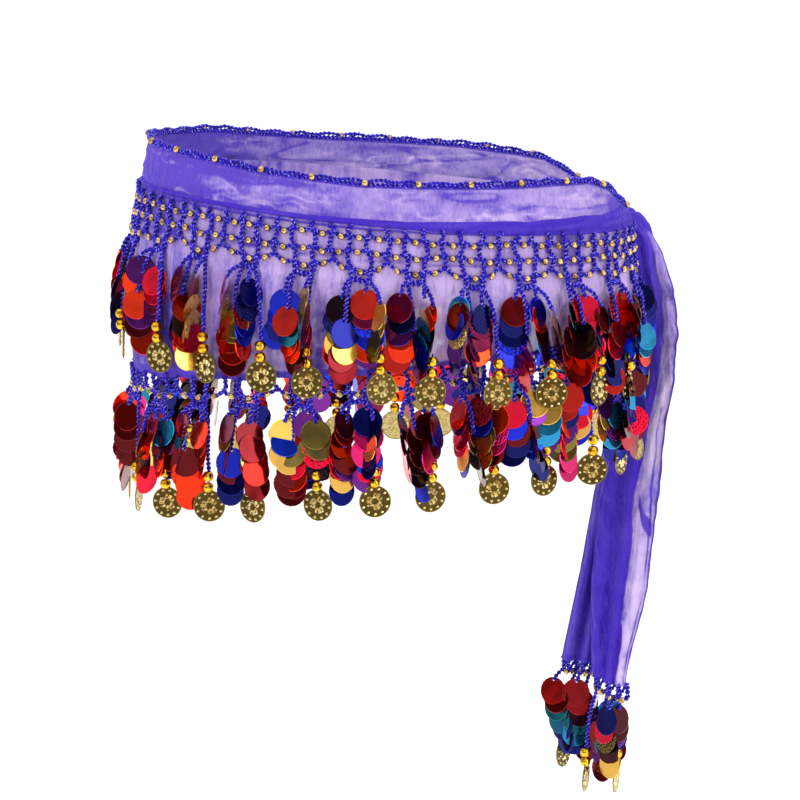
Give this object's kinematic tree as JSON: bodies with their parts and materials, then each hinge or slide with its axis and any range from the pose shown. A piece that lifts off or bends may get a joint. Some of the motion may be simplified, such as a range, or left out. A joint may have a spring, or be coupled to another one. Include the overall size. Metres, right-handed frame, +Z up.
{
  "type": "hip scarf",
  "caption": "Belly dance hip scarf of violet chiffon, tied at the side, with beaded crochet nets and a fringe of sequin discs and coins.",
  "frame": {"origin": "middle of the wearer's hips at the height of the knot, where the scarf is held", "axes": "+Z up, -Y to the front, +X to the side with the knot"},
  "size_m": [0.3808, 0.248, 0.46],
  "materials": {
    "chiffon": "sheer woven chiffon",
    "crochet_cord": "crocheted cord",
    "sequin_fringe": "metallic coated discs, gold beads and coins"
  },
  "bodies": {
    "root": {"wrap_band": "chiffon", "wrap_skirt": "chiffon", "knot": "chiffon", "tail_front": "chiffon", "tail_rear": "chiffon", "top_edging": "crochet_cord", "net_upper_front": "crochet_cord", "net_upper_back": "crochet_cord", "net_hem_front": "crochet_cord", "net_hem_back": "crochet_cord", "tail_net_front": "crochet_cord", "tail_net_rear": "crochet_cord", "fringe_upper_front": "sequin_fringe", "fringe_upper_back": "sequin_fringe", "fringe_hem_front": "sequin_fringe", "fringe_hem_back": "sequin_fringe", "tail_fringe_front": "sequin_fringe", "tail_fringe_rear": "sequin_fringe"}
  },
  "joints": []
}
